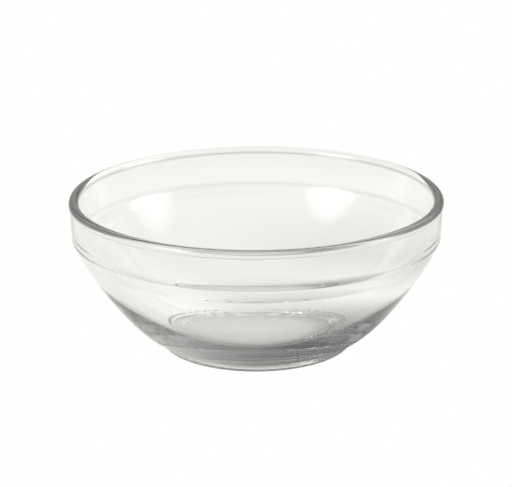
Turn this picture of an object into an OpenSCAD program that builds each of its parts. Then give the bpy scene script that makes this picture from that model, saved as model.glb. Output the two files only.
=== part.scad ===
// Prep bowl of clear pressed glass that stacks with others of its size.
// It is one piece of glass, a round section turned about the upright axis.
// From the top it has a round bead, an upright collar, a sloping shoulder,
// a curved body and a low, round-edged foot. The floor inside is flat and
// lies one small step below the lining.
// The origin is the middle of the face that the foot rests on, and +Z is up.

/* [Bowl] */
// Outside diameter across the rim
bowl_d = 140; // [125:1:170]
// Height from the table to the top of the rim
bowl_h = 57.5; // [50:0.5:75]
// Thickness of the glass behind the collar's lower corner
wall_t = 3.5; // [2.5:0.1:4.5]

/* [Rim and collar] */
// Diameter of the round bead along the rim
bead_d = 3.8; // [3:0.1:5]
// How far the bead stands out from the collar
bead_proud = 0.45; // [0.2:0.05:1]
// Height of the collar, from the top of the rim to its lower corner
collar_h = 15; // [10:0.5:18]
// How far the collar draws in towards its lower corner, outside
collar_draft = 0.55; // [0:0.05:1.5]

/* [Shoulder] */
// Height of the sloping shoulder under the collar
shoulder_h = 5; // [3:0.5:7]
// How far the shoulder slopes in
shoulder_in = 2.3; // [1.5:0.1:4]
// Radius of the pressed corner between collar and shoulder, outside
corner_r = 0.4; // [0.3:0.1:1.2]
// Radius of the wide bend behind it, where the lining turns in under the collar
lining_corner_r = 10; // [3:0.5:25]

/* [Body] */
// Lean of the body from the vertical, just under the shoulder
body_lean = 29.5; // [15:0.5:40]
// Rise of the body from the horizontal, where it leaves the foot
flare_rise = 22.5; // [5:0.5:30]
// Lean of the lining from the vertical, just under its bend
lining_lean = 23.2; // [18:0.2:30]

/* [Floor] */
// Diameter of the flat floor inside
floor_d = 57.6; // [48:0.2:62]
// Thickness of the glass at the middle of the floor
floor_t = 3.2; // [2.5:0.1:5]
// Depth of the floor below the step round it
step_h = 0.7; // [0.3:0.1:1.5]
// How far the step slopes out
step_out = 0.25; // [0.1:0.05:0.6]
// Rise of the lining from the horizontal, where it leaves the step
floor_rise = 15.2; // [5:0.2:20]

/* [Foot] */
// Outside diameter of the foot ring
foot_d = 72.6; // [60:0.2:80]
// Height of the foot ring, up to where the body flares out
foot_h = 2.5; // [2.3:0.1:4]
// Width of the foot ring's resting face
foot_w = 4.8; // [2:0.1:7]
// Depth of the hollow under the floor
recess_h = 0.7; // [0.4:0.1:1.5]
// Radius of the foot ring's outer edge
foot_edge_r = 2.1; // [0.5:0.1:2.2]

/* [Hidden] */
glass = [0.93, 0.95, 0.94, 0.45];

// Sides of a full turn, and steps along one curve, the bead and a rounded corner
$fn = 180;
curve_steps = 36;
bead_steps = 24;
corner_steps = 6;

// Reach of a curve's handles, as shares of the straight line between its ends
flare_share = 0.23;
body_share = 0.40;
lining_share = 0.445;
floor_share = 0.212;

// Rim bead, which meets the collar outside at bead_start and is flush inside
rim_r = bowl_d / 2;
bead_r = bead_d / 2;
bead_at = [rim_r - bead_r, bowl_h - bead_r];
bead_start = -acos(1 - bead_proud / bead_r);
bead_end = bead_at + bead_r * heading(180);

// Outside of the collar and the shoulder
collar_top = bead_at + bead_r * heading(bead_start);
collar_corner = [collar_top.x - collar_draft, bowl_h - collar_h];
shoulder_end = [collar_corner.x - shoulder_in, collar_corner.y - shoulder_h];

// Foot ring and the hollow under it
foot_r = foot_d / 2;
foot_top = [foot_r, foot_h];
foot_inner_r = foot_r - foot_edge_r - foot_w;
recess_r = foot_inner_r - recess_h;

// Outside of the body, from the foot to the shoulder
body = curve(foot_top, shoulder_end, heading(flare_rise), heading(90 - body_lean),
    flare_share, body_share);

// Inside, where the lining lies one wall behind the collar's corner, turns in
// with a wide bend and runs down to the step round the floor
collar_way = unit(collar_top - collar_corner);
shoulder_way = unit(collar_corner - shoulder_end);
lining_way = -heading(90 - lining_lean);
lining_corner = collar_corner + wall_t * mitre(shoulder_way, collar_way);
lining_bend = rounded(bead_end, lining_corner, lining_corner + lining_way, lining_corner_r);
floor_edge = [floor_d / 2, recess_h + floor_t];
step_top = floor_edge + [step_out, step_h];

function unit(v) = v / norm(v);

function heading(rise) = [cos(rise), sin(rise)];

// Way from a corner to the same corner of a line one unit further in, where the
// corner turns from way a to way b
function mitre(a, b) =
    let (across = unit([-a.y - b.y, a.x + b.x]))
    across / (across * [-a.y, a.x]);

// Points of a smooth curve from a to b, which leaves a and reaches b at given
// headings. Each handle is a share of the straight line between the ends.
function curve(a, b, leave, reach, leave_share, reach_share) =
    let (span = norm(b - a))
    let (c = a + span * leave_share * leave)
    let (d = b - span * reach_share * reach)
    [for (i = [0 : curve_steps])
        let (t = i / curve_steps, s = 1 - t)
        s * s * s * a + 3 * s * s * t * c + 3 * s * t * t * d + t * t * t * b];

// Points of the arc that rounds the corner at b between a and c
function rounded(a, b, c, r) =
    let (u = unit(a - b), v = unit(c - b))
    let (half = acos(u * v) / 2)
    let (centre = b + unit(u + v) * r / sin(half))
    let (from = b + u * r / tan(half) - centre, to = b + v * r / tan(half) - centre)
    [for (i = [0 : corner_steps])
        let (t = i / corner_steps)
        centre + r * unit((1 - t) * from + t * to)];

// Underside: the hollow, then the foot ring's resting face and its outer edge
underside = concat(
    [[0, recess_h], [recess_r, recess_h], [foot_inner_r, 0]],
    rounded([foot_inner_r, 0], [foot_r, 0], foot_top, foot_edge_r));

// Outside: the body, then the corner between the shoulder and the collar
outside = concat(body, rounded(shoulder_end, collar_corner, collar_top, corner_r));

// Over the rim, from the top of the collar outside to the top of the lining
bead_turns = concat(
    [for (i = [corner_steps : -1 : 1]) bead_start * i / corner_steps],
    [for (i = [0 : bead_steps]) 180 * i / bead_steps]);
bead = [for (turn = bead_turns) bead_at + bead_r * heading(turn)];

// Inside: down the collar and round the bend, whose last point starts the curve
// to the step, and then over the step to the floor
inside = concat(
    [for (i = [0 : corner_steps - 1]) lining_bend[i]],
    curve(lining_bend[corner_steps], step_top, lining_way, -heading(floor_rise),
        lining_share, floor_share),
    [floor_edge, [0, floor_edge.y]]);

module bowl() {
    color(glass)
        rotate_extrude()
            polygon(concat(underside, outside, bead, inside));
}

bowl();
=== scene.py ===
# %% [markdown]
# # A prep bowl of clear pressed glass
# The bowl's solid is already there at its real size, with its foot on z = 0 and
# +Z up. Blender works in metres, so it is loaded as it is and never moved. This
# script adds what the solid can't show: the smooth skin of the glass, how it
# bends light, and the white studio that such a bowl is photographed in.

# %% Load the bowl's solid
from math import acos, cos, degrees, pi, radians, sin, tan

import bmesh
import bpy
from mathutils import Matrix, Vector


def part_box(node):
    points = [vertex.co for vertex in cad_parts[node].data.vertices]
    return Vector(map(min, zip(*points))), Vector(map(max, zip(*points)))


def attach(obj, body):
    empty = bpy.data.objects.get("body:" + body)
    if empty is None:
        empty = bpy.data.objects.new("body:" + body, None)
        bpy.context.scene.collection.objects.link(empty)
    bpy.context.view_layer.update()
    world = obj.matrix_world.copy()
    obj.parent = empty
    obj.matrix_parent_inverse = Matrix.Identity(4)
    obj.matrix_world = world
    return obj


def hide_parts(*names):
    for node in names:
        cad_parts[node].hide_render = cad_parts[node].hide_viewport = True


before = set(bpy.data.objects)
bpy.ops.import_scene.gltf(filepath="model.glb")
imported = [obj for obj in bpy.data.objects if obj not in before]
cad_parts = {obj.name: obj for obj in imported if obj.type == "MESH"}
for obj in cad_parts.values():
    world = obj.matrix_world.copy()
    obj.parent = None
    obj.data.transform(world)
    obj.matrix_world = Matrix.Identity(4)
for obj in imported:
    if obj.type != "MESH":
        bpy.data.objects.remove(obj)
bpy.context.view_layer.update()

MM = 0.001
low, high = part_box("bowl")
print("solid box in mm:", [round(c / MM, 2) for c in (*low, *high)])

# %% [markdown]
# # Drawing a section
# A pressed bowl is round, so all of its shape lies in one half section: a line
# from the axis under the foot, out and up to the rim, and back down the inside.
# It could be traced by hand with a curve object. It is worked out from sizes
# here, so that it is the solid's own section with finer steps. It is drawn in
# millimetres, with x as the distance from the axis and y as the height. A
# straight stretch needs two points, and a round corner is an arc.

# %% Headings and round corners
def heading(rise):
    """The way that rises by so many degrees from the horizontal."""
    return Vector((cos(radians(rise)), sin(radians(rise))))


def rounded(a, b, c, r, steps=10):
    """The arc of radius r that rounds the corner at b between a and c."""
    u = (a - b).normalized()
    v = (c - b).normalized()
    half = acos(u.dot(v)) / 2
    centre = b + (u + v).normalized() * r / sin(half)
    start = b + u * r / tan(half) - centre
    end = b + v * r / tan(half) - centre
    return [centre + r * start.lerp(end, i / steps).normalized() for i in range(steps + 1)]


print("the way that rises by 30 degrees:", [round(part, 3) for part in heading(30)])

# %% [markdown]
# # Foot
# The bowl stands on a narrow ring with a shallow hollow inside it, so that it
# can't rock. A Boolean modifier could cut the hollow, but in a section it costs
# only three points. The ring's outer edge is an arc, because hot glass doesn't
# fill a sharp corner of the mould.

# %% Foot ring and the hollow under it
foot_d = 72.6  # diameter of the ring outside
foot_h = 2.5  # height at which the body flares out
foot_w = 4.8  # width of the face that it rests on
foot_edge_r = 2.1  # radius of its outer edge
recess_h = 0.7  # depth of the hollow

foot_r = foot_d / 2
foot_top = Vector((foot_r, foot_h))
foot_corner = Vector((foot_r, 0))
foot_inner = Vector((foot_r - foot_edge_r - foot_w, 0))
recess_r = foot_inner.x - recess_h

underside = [Vector((0, recess_h)), Vector((recess_r, recess_h)), foot_inner]
underside += rounded(foot_inner, foot_corner, foot_top, foot_edge_r)
print("points of the underside:", len(underside))

# %% [markdown]
# # Body, shoulder and collar
# The mould gives the outside. Above the foot the body flares out in one long
# sweep to the shoulder, a sloping step that lets one bowl sit in another, and
# over the shoulder stands the upright collar. A subdivision surface could model
# this, but it would soften the crisp corner under the collar. A curve with a
# handle at each end, as Blender's own curve objects have, leaves and reaches its
# ends at exact headings, and the corner is a small arc.

# %% Sweeps
def sweep(a, b, leave, reach, leave_share, reach_share, steps=72):
    """A cubic curve from a to b. Its handles are shares of the straight line."""
    span = (b - a).length
    c = a + span * leave_share * leave
    d = b - span * reach_share * reach
    points = []
    for i in range(steps + 1):
        t = i / steps
        s = 1 - t
        points.append(s ** 3 * a + 3 * s * s * t * c + 3 * s * t * t * d + t ** 3 * b)
    return points


# %% Outside, from the foot up to the rim
rim_r = high.x / MM
bowl_h = high.z / MM
bead_d = 3.8  # thickness of the bead
bead_proud = 0.45  # how far it stands out from the collar
collar_h = 15  # from the top of the rim to the collar's lower corner
collar_draft = 0.55  # how far the collar draws in on the way down
shoulder_h = 5  # height of the slope under it
shoulder_in = 2.3  # how far that slopes in
corner_r = 0.4  # radius of the corner between the two
body_lean = 29.5  # degrees from the vertical, under the shoulder
body_share = 0.40  # reach of the handle there
flare_rise = 22.5  # degrees from the horizontal, at the foot
flare_share = 0.23  # reach of the handle there

bead_r = bead_d / 2
bead_at = Vector((rim_r - bead_r, bowl_h - bead_r))
bead_start = -degrees(acos(1 - bead_proud / bead_r))
collar_top = bead_at + bead_r * heading(bead_start)
collar_corner = Vector((collar_top.x - collar_draft, bowl_h - collar_h))
shoulder_end = collar_corner - Vector((shoulder_in, shoulder_h))

body = sweep(foot_top, shoulder_end, heading(flare_rise), heading(90 - body_lean),
             flare_share, body_share)
outside = body + rounded(shoulder_end, collar_corner, collar_top, corner_r)
print("points of the outside:", len(outside))

# %% [markdown]
# # Bead along the rim
# After the pressing, the rim is melted round in a flame. That leaves a bead,
# which stands out a little from the collar and is flush with the lining. A torus
# set on the wall would look alike from outside, but its buried skin would bend
# the light inside the glass. So the bead is one more arc of the section.

# %% Bead
bead_steps = 48
bead = []
for i in range(bead_steps + 1):
    turn = bead_start + (180 - bead_start) * i / bead_steps
    bead.append(bead_at + bead_r * heading(turn))
print("the bead goes round by", round(180 - bead_start), "degrees")

# %% [markdown]
# # Lining
# The plunger gives the inside, which follows the outside more softly: a wide
# bend under the collar, a long sweep down, and one small step to the flat floor.
# A Solidify modifier would make an even wall, but a pressed wall is thicker
# towards the foot, and that is what bends the light. So the lining has sizes of
# its own. The mitre gives the point that lies one wall behind the collar's lower
# corner, and the bend turns there.

# %% Mitre
def mitre(a, b):
    """From a corner to the same corner of a line one unit further in."""
    across = Vector((-a.y - b.y, a.x + b.x)).normalized()
    return across / across.dot(Vector((-a.y, a.x)))


# %% Lining, from the rim down to the axis
wall_t = 3.5  # thickness behind the collar's lower corner
lining_corner_r = 10  # radius of the bend
lining_lean = 23.2  # degrees from the vertical, under the bend
lining_share = 0.445  # reach of the handle there
floor_d = 57.6  # diameter of the flat floor
floor_t = 3.2  # thickness of the glass under it
floor_rise = 15.2  # degrees from the horizontal, at the step
floor_share = 0.212  # reach of the handle there
step_h = 0.7  # height of the step
step_out = 0.25  # how far it slopes out
bend_steps = 24

collar_way = (collar_top - collar_corner).normalized()
shoulder_way = (collar_corner - shoulder_end).normalized()
lining_way = -heading(90 - lining_lean)
lining_corner = collar_corner + wall_t * mitre(shoulder_way, collar_way)
floor_r = floor_d / 2
floor_edge = Vector((floor_r, recess_h + floor_t))
step_top = floor_edge + Vector((step_out, step_h))

lining = rounded(bead[-1], lining_corner, lining_corner + lining_way, lining_corner_r, bend_steps)
lining += sweep(lining[-1], step_top, lining_way, -heading(floor_rise), lining_share, floor_share)
lining += [floor_edge, Vector((0, floor_edge.y))]
section = underside + outside + bead + lining
print("points of the whole section:", len(section))

# %% [markdown]
# # Turning the section into glass
# The Screw modifier could turn the section. bmesh.ops.spin does it in one call
# that leaves plain geometry, so each ring can be marked at once. Smooth shading
# hides the facets, and a ring where the section turns sharply stays a crease, as
# it is on the glass. Smooth shading would also bend the light on a flat stretch
# beside an arc, so each long stretch first gets a short step at either end.

# %% Short steps at the ends of a straight stretch
def braced(points, gap=0.15):
    """The points, with one more at gap mm inside each end of every long stretch."""
    result = []
    for a, b in zip(points, points[1:]):
        length = (b - a).length
        result.append(a)
        if length > 4 * gap:
            result += [a.lerp(b, gap / length), b.lerp(a, gap / length)]
    return result + [points[-1]]


# %% The lathe
TURNS = 256
CREASE = 14  # the least angle of a crease, in degrees
TOUCHING = 0.0001  # points that lie closer than this, in mm, are one point


def turned(name, points):
    """A closed smooth mesh: points, given from axis to axis, turned about Z."""
    bm = bmesh.new()
    ring = [bm.verts.new((p.x * MM, 0, p.y * MM)) for p in points]
    line = [bm.edges.new(pair) for pair in zip(ring, ring[1:])]
    bmesh.ops.spin(bm, geom=ring + line, cent=(0, 0, 0), axis=(0, 0, 1),
                   angle=2 * pi, steps=TURNS, use_merge=True)
    bmesh.ops.remove_doubles(bm, verts=bm.verts, dist=TOUCHING * MM)
    bmesh.ops.recalc_face_normals(bm, faces=bm.faces)
    for face in bm.faces:
        face.smooth = True
    for edge in bm.edges:
        if edge.is_manifold:
            edge.smooth = degrees(edge.calc_face_angle()) < CREASE
    mesh = bpy.data.meshes.new(name)
    bm.to_mesh(mesh)
    bm.free()
    piece = bpy.data.objects.new(name, mesh)
    bpy.context.scene.collection.objects.link(piece)
    return piece


# %% The bowl
points = [p for p, q in zip(section, section[1:]) if (p - q).length > TOUCHING]
glass_bowl = turned("glass_bowl", braced(points + [section[-1]]))
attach(glass_bowl, "root")
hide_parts("bowl")
print("faces of the bowl:", len(glass_bowl.data.polygons))

# %% [markdown]
# # Colours and nodes
# A colour is written as the sRGB hex value that a colour picker shows, and the
# shaders want linear values. A material's nodes could be wired by hand in the
# Shader Editor. One function that adds a node does the same in code: an input
# takes either a value, or the socket of another node to link from.

# %% Colours and nodes
def linear(hex_colour):
    """An sRGB hex colour, such as "#F4F6F5", as the linear values of a socket."""
    channels = [int(hex_colour[i:i + 2], 16) / 255 for i in (1, 3, 5)]
    flat = [c / 12.92 if c <= 0.04045 else ((c + 0.055) / 1.055) ** 2.4 for c in channels]
    return (*flat, 1)


def add_node(tree, kind, inputs=(), **settings):
    """A new node with its settings. An input takes a value, or a socket to link from."""
    node = tree.nodes.new(kind)
    for name, value in settings.items():
        setattr(node, name, value)
    for key, value in dict(inputs).items():
        if isinstance(value, bpy.types.NodeSocket):
            tree.links.new(value, node.inputs[key])
        else:
            node.inputs[key].default_value = value
    return node


def new_material(name):
    """An empty material, and its node tree."""
    material = bpy.data.materials.new(name)
    material.use_nodes = True
    material.node_tree.nodes.clear()
    return material, material.node_tree


print("mid grey, #808080, as linear values:", [round(c, 3) for c in linear("#808080")])

# %% [markdown]
# # The skin of the glass
# Pressed and fire-polished glass is smooth and glossy, but not perfect. Cooling
# in the mould leaves shallow waves some centimetres long, which sway the
# reflections a little. Washing leaves a very fine haze in patches, and the foot
# is rubbed duller by the tables that it has stood on, which softens what the
# thick glass there shows. The waves could be real displacement, but they are
# thousandths of a millimetre high, so a bump is enough. Haze and wear are two
# roughnesses, added up.

# %% Waves
WAVE_LENGTH = 45  # mm
WAVE_HEIGHT = 0.003  # mm


def waves(tree, place):
    """The way that the wavy skin faces."""
    noise = add_node(tree, "ShaderNodeTexNoise", {
        "Vector": place,
        "Scale": 1 / (WAVE_LENGTH * MM),
        "Detail": 1.0,
    })
    bump = add_node(tree, "ShaderNodeBump", {
        "Height": noise.outputs["Fac"],
        "Strength": 1.0,
        "Distance": WAVE_HEIGHT * MM,
    })
    return bump.outputs["Normal"]


# %% Haze and wear
HAZE_SIZE = 12  # mm
HAZE_ROUGHNESS = 0.01
WORN_HEIGHT = 7  # mm
WORN_ROUGHNESS = 0.15


def dullness(tree, place):
    """The roughness of the hazy skin, which grows towards the worn foot."""
    noise = add_node(tree, "ShaderNodeTexNoise", {
        "Vector": place,
        "Scale": 1 / (HAZE_SIZE * MM),
        "Detail": 3.0,
    })
    haze = add_node(tree, "ShaderNodeMapRange", {
        "Value": noise.outputs["Fac"],
        "From Min": 0.4,
        "From Max": 0.8,
        "To Max": HAZE_ROUGHNESS,
    })
    height = add_node(tree, "ShaderNodeSeparateXYZ", {"Vector": place}).outputs["Z"]
    wear = add_node(tree, "ShaderNodeMapRange", {
        "Value": height,
        "From Max": WORN_HEIGHT * MM,
        "To Min": WORN_ROUGHNESS,
        "To Max": 0.0,
    })
    both = {0: haze.outputs["Result"], 1: wear.outputs["Result"]}
    return add_node(tree, "ShaderNodeMath", both, operation="ADD").outputs[0]


# %% [markdown]
# # Soda-lime glass
# Such bowls are pressed from soda-lime glass, whose index of refraction is 1.52.
# It is clear, with a faint grey cast that deepens with the thickness, so the rim
# and the foot look darker than the wall. The Base Color could hold the cast, but
# it would tint thin and thick glass alike. Volume absorption works along the way
# that the light takes through the glass, so the cast is put there.

# %% Glass
def soda_lime_glass():
    """Clear glass, with its cast in its depth."""
    material, tree = new_material("soda_lime_glass")
    place = add_node(tree, "ShaderNodeTexCoord").outputs["Object"]
    skin = add_node(tree, "ShaderNodeBsdfPrincipled", {
        "Base Color": linear("#FFFFFF"),
        "IOR": 1.52,
        "Transmission Weight": 1.0,
        "Roughness": dullness(tree, place),
        "Normal": waves(tree, place),
    })
    depth = add_node(tree, "ShaderNodeVolumeAbsorption", {
        "Color": linear("#E3E3E3"),
        "Density": 50.0,
    })
    add_node(tree, "ShaderNodeOutputMaterial", {
        "Surface": skin.outputs["BSDF"],
        "Volume": depth.outputs["Volume"],
    })
    return material


glass_bowl.data.materials.append(soda_lime_glass())
print("nodes in the glass:", len(glass_bowl.active_material.node_tree.nodes))

# %% [markdown]
# # The studio
# Clear glass has no colour to light: it shows its surroundings, bent. It is
# photographed in a bright field, where everything is pale, and its edges and its
# base turn grey because they bend the view to something darker. So the studio is
# a pale round room with soft lights on its walls, and a white table that the
# bowl itself shades. Lamps could light it, but through glass a small lamp turns
# into specks of noise, so the walls and the table glow by themselves. They show
# in the glass alone. The camera sees plain white instead, as in an overexposed
# shot. Every brightness was set in round numbers.

# %% Graded brightness
BRIGHTEST = 2.0  # the brightness that white on a colour ramp stands for


def graded(tree, share, stops):
    """The brightness at a share of the way, through (share, brightness) stops."""
    ramp = add_node(tree, "ShaderNodeValToRGB", {"Fac": share})
    elements = ramp.color_ramp.elements
    while len(elements) < len(stops):
        elements.new(1.0)
    for element, (position, brightness) in zip(elements, stops):
        grey = brightness / BRIGHTEST
        element.position = position
        element.color = (grey, grey, grey, 1)
    scaled = {0: ramp.outputs["Color"], 1: BRIGHTEST}
    return add_node(tree, "ShaderNodeMath", scaled, operation="MULTIPLY").outputs[0]


# %% Glowing surfaces
def glowing(name, tint, brightness=None):
    """An emission material, evenly bright or as a function of the place says."""
    material, tree = new_material(name)
    strength = 1.0
    if brightness:
        strength = brightness(tree, add_node(tree, "ShaderNodeTexCoord").outputs["Object"])
    glow = add_node(tree, "ShaderNodeEmission", {"Color": linear(tint), "Strength": strength})
    add_node(tree, "ShaderNodeOutputMaterial", {"Surface": glow.outputs["Emission"]})
    return material


def stage(name, bm, material, seen):
    """A stage object from a bmesh, which the camera alone sees, or the glass alone."""
    mesh = bpy.data.meshes.new(name)
    bm.to_mesh(mesh)
    bm.free()
    mesh.materials.append(material)
    piece = bpy.data.objects.new(name, mesh)
    bpy.context.scene.collection.objects.link(piece)
    piece.visible_camera = seen
    for ray in ("diffuse", "glossy", "transmission", "volume_scatter", "shadow"):
        setattr(piece, "visible_" + ray, not seen)
    return piece


# %% [markdown]
# # Room
# The walls are one dome, pale at the table's height, darker some way up and a
# little lighter overhead. On it are round soft lights that fade out to their
# edges. Area lamps could stand there, but a patch of the wall can be as soft and
# as wide as wanted. The glass reflects only about a twentieth of what is in front
# of it, so the two lights that show as pale patches on its far wall are strong.
# The dark card has a negative brightness: it takes light away from the wall, and
# draws a darker line along the rim. An azimuth goes clockwise from +Y, which is
# behind the bowl, as seen from above.

# %% Lights on the walls
ROOM_R = 4.0  # metres

# Elevation in degrees, and brightness
WALL_GLOW = [(0, 0.8), (25, 0.45), (90, 0.6)]

# Azimuth, elevation and reach in degrees, and brightness
SOFT_LIGHTS = {
    "large, behind on the right": (40, 40, 35, 1.5),
    "weaker, behind on the left": (-35, 40, 40, 0.7),
    "overhead": (90, 75, 50, 0.5),
    "low, straight behind": (0, 25, 20, 0.5),
    "strong, in front on the left": (-125, 25, 20, 4.5),
    "strong, on the right": (100, 20, 20, 2.5),
    "dark card, in front on the right": (150, 0, 50, -0.5),
}


def towards(azimuth, elevation):
    """The unit vector that points to an azimuth and an elevation."""
    a = radians(azimuth)
    e = radians(elevation)
    return Vector((cos(e) * sin(a), cos(e) * cos(a), sin(e)))


def room_light(tree, place):
    """The glow of the walls by their height, with the soft lights added to it."""
    way = add_node(tree, "ShaderNodeVectorMath", {0: place}, operation="NORMALIZE").outputs["Vector"]
    height = add_node(tree, "ShaderNodeSeparateXYZ", {"Vector": way}).outputs["Z"]
    total = graded(tree, height, [(sin(radians(e)), brightness) for e, brightness in WALL_GLOW])
    for azimuth, elevation, reach, brightness in SOFT_LIGHTS.values():
        ways = {0: way, 1: towards(azimuth, elevation)}
        nearness = add_node(tree, "ShaderNodeVectorMath", ways, operation="DOT_PRODUCT")
        light = add_node(tree, "ShaderNodeMapRange", {
            "Value": nearness.outputs["Value"],
            "From Min": cos(radians(reach)),
            "To Max": brightness,
        }, interpolation_type="SMOOTHSTEP")
        sums = {0: total, 1: light.outputs["Result"]}
        total = add_node(tree, "ShaderNodeMath", sums, operation="ADD").outputs[0]
    return total


# %% Room
DOME_SIDES = 48
dome = bmesh.new()
bmesh.ops.create_uvsphere(dome, u_segments=DOME_SIDES, v_segments=DOME_SIDES, radius=ROOM_R)
room = stage("room", dome, glowing("painted_walls", "#FFFEFB", room_light), seen=False)
print("lights on the walls:", len(SOFT_LIGHTS))

# %% [markdown]
# # Table
# Under the foot and round it the bowl casts a ring of shade, and outside that
# lies a ring of light, which its curved wall gathers. Blender could work out both
# from the lights, but light that glass focuses is the noisiest kind to render. So
# both are painted into the table's own glow, as a painted shadow and a painted
# ring of light. They are strong on one side of the bowl, at the front on the
# right, and faint on the other. Each side has a short list of radii, given in the
# bowl's own sizes, and brightnesses, and the material blends from one side to the
# other round the bowl.

# %% Shade on the table
TABLE_SPAN = 400  # mm from the axis to where the last stop lies
SHADE_REACH = 10  # how far the deep shade reaches beyond the foot, in mm
SHADE_WAY = (0.8, -0.6, 0)  # from the bowl to the middle of its shaded side

# Radius in mm, and brightness of the painted shade and light
LIT_SIDE = [
    (0, 0.7),
    (foot_inner.x, 0.6),
    (foot_r, 0.9),
    (3 * rim_r, 1.0),
    (TABLE_SPAN, 0.8),
]
SHADED_SIDE = [
    (0, 0.7),
    (0.7 * floor_r, 0.6),
    (foot_inner.x, 0.1),
    (foot_r + SHADE_REACH, 0.4),
    (rim_r, 1.1),
    (1.5 * rim_r, 0.7),
    (3 * rim_r, 1.0),
    (TABLE_SPAN, 0.4),
]


def side_light(tree, share, stops):
    """The glow of one side, at a share of the table's span from the axis."""
    return graded(tree, share, [(mm / TABLE_SPAN, brightness) for mm, brightness in stops])


def painted_table_light(tree, place):
    """The table's painted shade and light, blended from its lit side to its shaded one."""
    levelled = {0: place, 1: (1, 1, 0)}
    flat = add_node(tree, "ShaderNodeVectorMath", levelled, operation="MULTIPLY").outputs["Vector"]
    radius = add_node(tree, "ShaderNodeVectorMath", {0: flat}, operation="LENGTH").outputs["Value"]
    spans = {0: radius, 1: TABLE_SPAN * MM}
    share = add_node(tree, "ShaderNodeMath", spans, operation="DIVIDE").outputs[0]
    way = add_node(tree, "ShaderNodeVectorMath", {0: flat}, operation="NORMALIZE").outputs["Vector"]
    ways = {0: way, 1: SHADE_WAY}
    facing = add_node(tree, "ShaderNodeVectorMath", ways, operation="DOT_PRODUCT").outputs["Value"]
    shaded = add_node(tree, "ShaderNodeMapRange", {"Value": facing, "From Min": -1.0})
    blend = add_node(tree, "ShaderNodeMix", {
        "Factor": shaded.outputs["Result"],
        "A": side_light(tree, share, LIT_SIDE),
        "B": side_light(tree, share, SHADED_SIDE),
    }, data_type="FLOAT")
    return blend.outputs["Result"]


# %% Table and floor
# How far they lie under the foot, in mm, so that the glass touches neither
FLOOR_DROP = 0.1
TABLE_DROP = 0.2
DISC_SIDES = 96


def disc(name, material, drop, seen):
    """A round stage object as wide as the room, which lies drop mm under the foot."""
    bm = bmesh.new()
    bmesh.ops.create_circle(bm, cap_ends=True, segments=DISC_SIDES, radius=ROOM_R)
    piece = stage(name, bm, material, seen)
    piece.location.z = -drop * MM
    return piece


floor = disc("floor", glowing("overexposed_white", "#FFFFFF"), FLOOR_DROP, seen=True)
# The table glows with the bowl's shadow and its ring of light painted in.
table = disc("table", glowing("white_table_painted_shade", "#FFFEFB", painted_table_light), TABLE_DROP, seen=False)
print("the camera sees", floor.name, "and the glass sees", table.name, "and", room.name)

# %% [markdown]
# # World
# Beyond the floor the camera looks into the world, so the world is the same
# plain white. A backdrop could stand there, but it would have a seam.

# %% World
world = bpy.data.worlds.new("white_studio")
bpy.context.scene.world = world
world.use_nodes = True
world.node_tree.nodes.clear()
sky = add_node(world.node_tree, "ShaderNodeBackground", {"Color": linear("#FFFFFF"), "Strength": 1.0})
add_node(world.node_tree, "ShaderNodeOutputWorld", {"Surface": sky.outputs["Background"]})
print("nodes in the world:", len(world.node_tree.nodes))

# %% [markdown]
# # Camera
# The camera looks down at the bowl by some 18 degrees, from about 0.9 m. A long
# lens keeps the perspective weak, so the rim and the foot are ellipses of nearly
# one shape. A Track To constraint could aim the camera at an empty. One matrix
# does the same and leaves nothing behind, and it holds the slight roll too.

# %% Camera
CAMERA_DISTANCE = 0.91  # metres
CAMERA_DOWN = 17.576  # degrees
CAMERA_ROLL = -0.314  # degrees
AIM = Vector((-0.00017, 0, 0.03834))  # metres
FOCAL_PIXELS = 2421.4  # focal length, in pixels of an image of this width
IMAGE_WIDTH = 512
SENSOR_WIDTH = 36  # mm

camera = bpy.data.objects.new("camera", bpy.data.cameras.new("camera"))
bpy.context.scene.collection.objects.link(camera)
camera.data.sensor_width = SENSOR_WIDTH
camera.data.lens = FOCAL_PIXELS * SENSOR_WIDTH / IMAGE_WIDTH
down = radians(CAMERA_DOWN)
eye = Vector((0, -CAMERA_DISTANCE * cos(down), AIM.z + CAMERA_DISTANCE * sin(down)))
aim = (AIM - eye).to_track_quat("-Z", "Y").to_matrix().to_4x4()
camera.matrix_world = Matrix.Translation(eye) @ aim @ Matrix.Rotation(radians(CAMERA_ROLL), 4, "Z")
bpy.context.scene.camera = camera
print("lens in mm:", round(camera.data.lens, 1))

# %% [markdown]
# # Light in thick glass
# Light in the rim and the foot is thrown to and fro many times before it gets
# out, and a path that is cut short is black. So many bounces are allowed. The
# Standard view transform keeps the white as white as it was set.

# %% Bounces and view transform
cycles = bpy.context.scene.cycles
cycles.max_bounces = 32
cycles.transmission_bounces = 32
cycles.glossy_bounces = 24
bpy.context.scene.view_settings.view_transform = "Standard"
print("bounces:", cycles.max_bounces)
